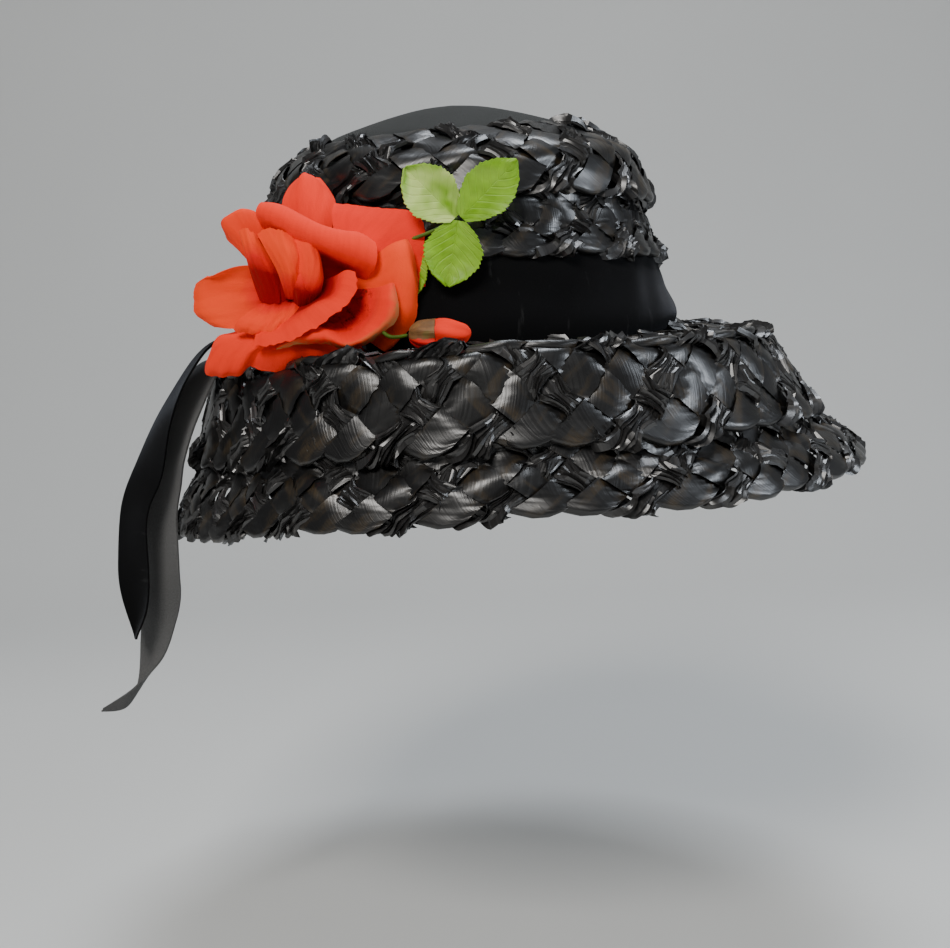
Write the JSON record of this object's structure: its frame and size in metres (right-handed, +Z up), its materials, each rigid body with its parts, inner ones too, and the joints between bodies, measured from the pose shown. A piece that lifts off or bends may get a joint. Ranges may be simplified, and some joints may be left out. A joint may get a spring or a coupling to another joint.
{
  "type": "wide brim straw hat",
  "caption": "Wide brim hat of plaited black straw rows round a cloth crown, with a velvet band, a coral cloth rose with leaves and bud, and hanging ribbon tails.",
  "frame": {"origin": "middle of the head opening, at the joint of crown and brim", "axes": "+Z up through the crown's tip, -Y the way the wearer looks, +X towards the wearer's left"},
  "size_m": [0.3755, 0.3561, 0.283],
  "materials": {
    "straw": "glossy cellophane straw, plaited",
    "crown_cloth": "matte woven cloth",
    "velvet": "cotton velvet pile",
    "ribbon_reverse": "matte ribbed ribbon back",
    "rose": "soft cotton cloth with frayed edges",
    "leaf": "pressed cloth with veins",
    "bud_husk": "mottled pressed cloth"
  },
  "bodies": {
    "root": {"crown_cloth": "crown_cloth", "crown_upper_row": "straw", "crown_lower_row": "straw", "hat_band": "velvet", "brim_shelf_row": "straw", "brim_upper_row": "straw", "brim_lower_row": "straw", "rose_receptacle": "rose", "leaf_left": "leaf", "leaf_right": "leaf", "leaf_lower": "leaf", "leaf_under_rose": "leaf", "leaf_stem": "leaf", "rosebud_cap": "bud_husk", "rosebud_petals": "rose", "bud_stem": "leaf", "ribbon_tail_velvet": "velvet", "ribbon_tail_reverse": "ribbon_reverse", "rose_petal_heart_core": "rose", "rose_petal_heart_fold": "rose", "rose_petal_heart_left": "rose", "rose_petal_heart_right": "rose", "rose_petal_heart_low": "rose", "rose_petal_inner_swirl": "rose", "rose_petal_rolled_top": "rose", "rose_petal_inner_left": "rose", "rose_petal_lower_lip": "rose", "rose_petal_ear_left": "rose", "rose_petal_low_front": "rose", "rose_petal_lower_left": "rose", "rose_petal_front_right": "rose", "rose_petal_standing_top": "rose", "rose_petal_cupped_left": "rose", "rose_petal_broad_right": "rose"}
  },
  "joints": []
}
